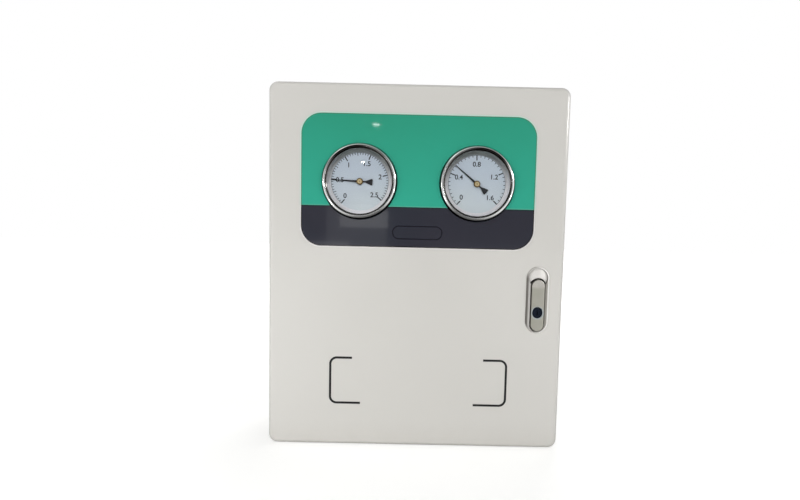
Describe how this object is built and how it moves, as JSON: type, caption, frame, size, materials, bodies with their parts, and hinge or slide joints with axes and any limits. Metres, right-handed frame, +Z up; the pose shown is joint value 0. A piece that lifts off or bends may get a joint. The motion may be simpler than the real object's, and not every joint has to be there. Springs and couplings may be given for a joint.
{
  "type": "oxygen regulator box",
  "caption": "Wall cabinet with a hinged door, a flush lever lock, dial gauges through the door, and a duplex regulator and ball valve set with capillary pipe sockets on top.",
  "frame": {"origin": "centre of the back face that lies on the wall, which is also the centre of the wall holes", "axes": "+X right as seen from the front, +Y into the wall, +Z up"},
  "size_m": [0.402, 0.169, 0.514],
  "materials": {
    "cabinet_paint": "satin powder coat",
    "door_paint": "satin powder coat",
    "zinc_sheet": "zinc plated",
    "steel_fixings": "zinc plated",
    "black_rubber": "matt",
    "foam_gasket": "matt",
    "printed_facia": "gloss print",
    "gauge_case_black": "semi gloss",
    "bezel_chrome": "polished",
    "lens_glass": "clear",
    "dial_white": "matt",
    "movement_brass": "satin",
    "pointer_black": "satin",
    "link_steel": "satin",
    "pipe_copper": "drawn copper",
    "fitting_brass": "machined",
    "lever_red": "gloss",
    "knob_blue": "matt",
    "lock_die_cast": "satin",
    "lever_die_cast": "satin",
    "button_chrome": "satin",
    "barrel_dark": "semi gloss"
  },
  "bodies": {
    "cabinet": {"cabinet_shell": "cabinet_paint", "back_panel": "cabinet_paint", "mounting_plate": "zinc_sheet", "plate_fixings": "steel_fixings", "pipe_grommets": "black_rubber", "hinge_brackets": "cabinet_paint", "inlet_manifold": "pipe_copper", "outlet_manifold": "pipe_copper", "inlet_gauge_line": "pipe_copper", "outlet_gauge_line": "pipe_copper", "branch_nipples": "pipe_copper", "union_nuts": "fitting_brass", "relief_valve": "fitting_brass", "pipe_clamps": "steel_fixings", "main_inlet_valve": "fitting_brass", "main_outlet_valve": "fitting_brass", "standby_inlet_valve": "fitting_brass", "standby_outlet_valve": "fitting_brass", "main_regulator_body": "fitting_brass", "main_regulator_bonnet": "fitting_brass", "standby_regulator_body": "fitting_brass", "standby_regulator_bonnet": "fitting_brass", "bonnet_screws": "steel_fixings", "inlet_gauge_case": "gauge_case_black", "inlet_gauge_bezel": "bezel_chrome", "inlet_gauge_lens": "lens_glass", "inlet_gauge_dial": "dial_white", "inlet_gauge_movement": "movement_brass", "outlet_gauge_case": "gauge_case_black", "outlet_gauge_bezel": "bezel_chrome", "outlet_gauge_lens": "lens_glass", "outlet_gauge_dial": "dial_white", "outlet_gauge_movement": "movement_brass"},
    "door": {"door_panel": "door_paint", "facia_panel": "printed_facia", "door_gasket": "foam_gasket", "door_hinge_leaves": "door_paint", "hinge_pins": "steel_fixings", "lock_housing": "lock_die_cast", "lock_clamp": "steel_fixings", "lock_screws": "steel_fixings", "lever_pin": "steel_fixings", "key_barrel": "barrel_dark"},
    "lever": {"handle_lever": "lever_die_cast"},
    "button": {"release_button": "button_chrome"},
    "key": {"key_core": "barrel_dark", "lock_cam": "steel_fixings", "cam_nut": "steel_fixings"},
    "inlet_sector_body": {"inlet_sector": "movement_brass"},
    "inlet_link_body": {"inlet_link": "link_steel"},
    "inlet_pointer_body": {"inlet_pointer": "pointer_black"},
    "outlet_sector_body": {"outlet_sector": "movement_brass"},
    "outlet_link_body": {"outlet_link": "link_steel"},
    "outlet_pointer_body": {"outlet_pointer": "pointer_black"},
    "main_inlet_lever": {"main_inlet_handle": "lever_red"},
    "main_outlet_lever": {"main_outlet_handle": "lever_red"},
    "main_knob": {"main_regulator_knob": "knob_blue"},
    "standby_inlet_lever": {"standby_inlet_handle": "lever_red"},
    "standby_outlet_lever": {"standby_outlet_handle": "lever_red"},
    "standby_knob": {"standby_regulator_knob": "knob_blue"}
  },
  "joints": [
    {"name": "door_swing", "type": "hinge", "parent": "cabinet", "child": "door", "pos_m": [-0.192, -0.152, 0], "axis": [0, 0, -1], "range_deg": [0, 105]},
    {"name": "handle_lift", "type": "hinge", "parent": "door", "child": "lever", "pos_m": [0.165, -0.161, -0.0715], "axis": [1, 0, 0], "range_deg": [0, 70]},
    {"name": "button_press", "type": "slide", "parent": "door", "child": "button", "axis": [0, 1, 0], "range_m": [0, 0.002], "stiffness_N_per_m": 800, "springref_m": -0.001},
    {"name": "key_turn", "type": "hinge", "parent": "door", "child": "key", "pos_m": [0.165, -0.15, -0.0552], "axis": [0, 1, 0], "range_deg": [0, 90]},
    {"name": "inlet_sector_turn", "type": "hinge", "parent": "cabinet", "child": "inlet_sector_body", "pos_m": [-0.0783, -0.151, 0.0896], "axis": [0, 1, 0], "range_deg": [-21.6, 5.4]},
    {"name": "inlet_pointer_turn", "type": "hinge", "parent": "cabinet", "child": "inlet_pointer_body", "pos_m": [-0.0783, -0.16, 0.116], "axis": [0, 1, 0], "range_deg": [-54, 216]},
    {"name": "inlet_link_turn", "type": "hinge", "parent": "inlet_sector_body", "child": "inlet_link_body", "pos_m": [-0.07929, -0.15, 0.08267], "axis": [0, 1, 0], "range_deg": [-5.4, 21.6]},
    {"name": "outlet_sector_turn", "type": "hinge", "parent": "cabinet", "child": "outlet_sector_body", "pos_m": [0.0783, -0.151, 0.0896], "axis": [0, 1, 0], "range_deg": [-18.3, 8.7]},
    {"name": "outlet_pointer_turn", "type": "hinge", "parent": "cabinet", "child": "outlet_pointer_body", "pos_m": [0.0783, -0.16, 0.116], "axis": [0, 1, 0], "range_deg": [-87, 183]},
    {"name": "outlet_link_turn", "type": "hinge", "parent": "outlet_sector_body", "child": "outlet_link_body", "pos_m": [0.07771, -0.15, 0.08263], "axis": [0, 1, 0], "range_deg": [-8.7, 18.3]},
    {"name": "main_inlet_lever_turn", "type": "hinge", "parent": "cabinet", "child": "main_inlet_lever", "pos_m": [-0.093, -0.052, -0.005], "axis": [0, 1, 0], "range_deg": [0, 90]},
    {"name": "main_outlet_lever_turn", "type": "hinge", "parent": "cabinet", "child": "main_outlet_lever", "pos_m": [0.093, -0.052, -0.005], "axis": [0, -1, 0], "range_deg": [0, 90]},
    {"name": "main_knob_turn", "type": "hinge", "parent": "cabinet", "child": "main_knob", "pos_m": [0, -0.15, -0.005], "axis": [0, 1, 0], "range_deg": [-360, 360]},
    {"name": "standby_inlet_lever_turn", "type": "hinge", "parent": "cabinet", "child": "standby_inlet_lever", "pos_m": [-0.093, -0.052, -0.125], "axis": [0, 1, 0], "range_deg": [0, 90]},
    {"name": "standby_outlet_lever_turn", "type": "hinge", "parent": "cabinet", "child": "standby_outlet_lever", "pos_m": [0.093, -0.052, -0.125], "axis": [0, -1, 0], "range_deg": [0, 90]},
    {"name": "standby_knob_turn", "type": "hinge", "parent": "cabinet", "child": "standby_knob", "pos_m": [0, -0.15, -0.125], "axis": [0, 1, 0], "range_deg": [-360, 360]}
  ],
  "couplings": [
    {"joint": "inlet_pointer_turn", "follows": "inlet_sector_turn", "ratio": -10},
    {"joint": "inlet_link_turn", "follows": "inlet_sector_turn", "ratio": -1},
    {"joint": "outlet_pointer_turn", "follows": "outlet_sector_turn", "ratio": -10},
    {"joint": "outlet_link_turn", "follows": "outlet_sector_turn", "ratio": -1}
  ]
}
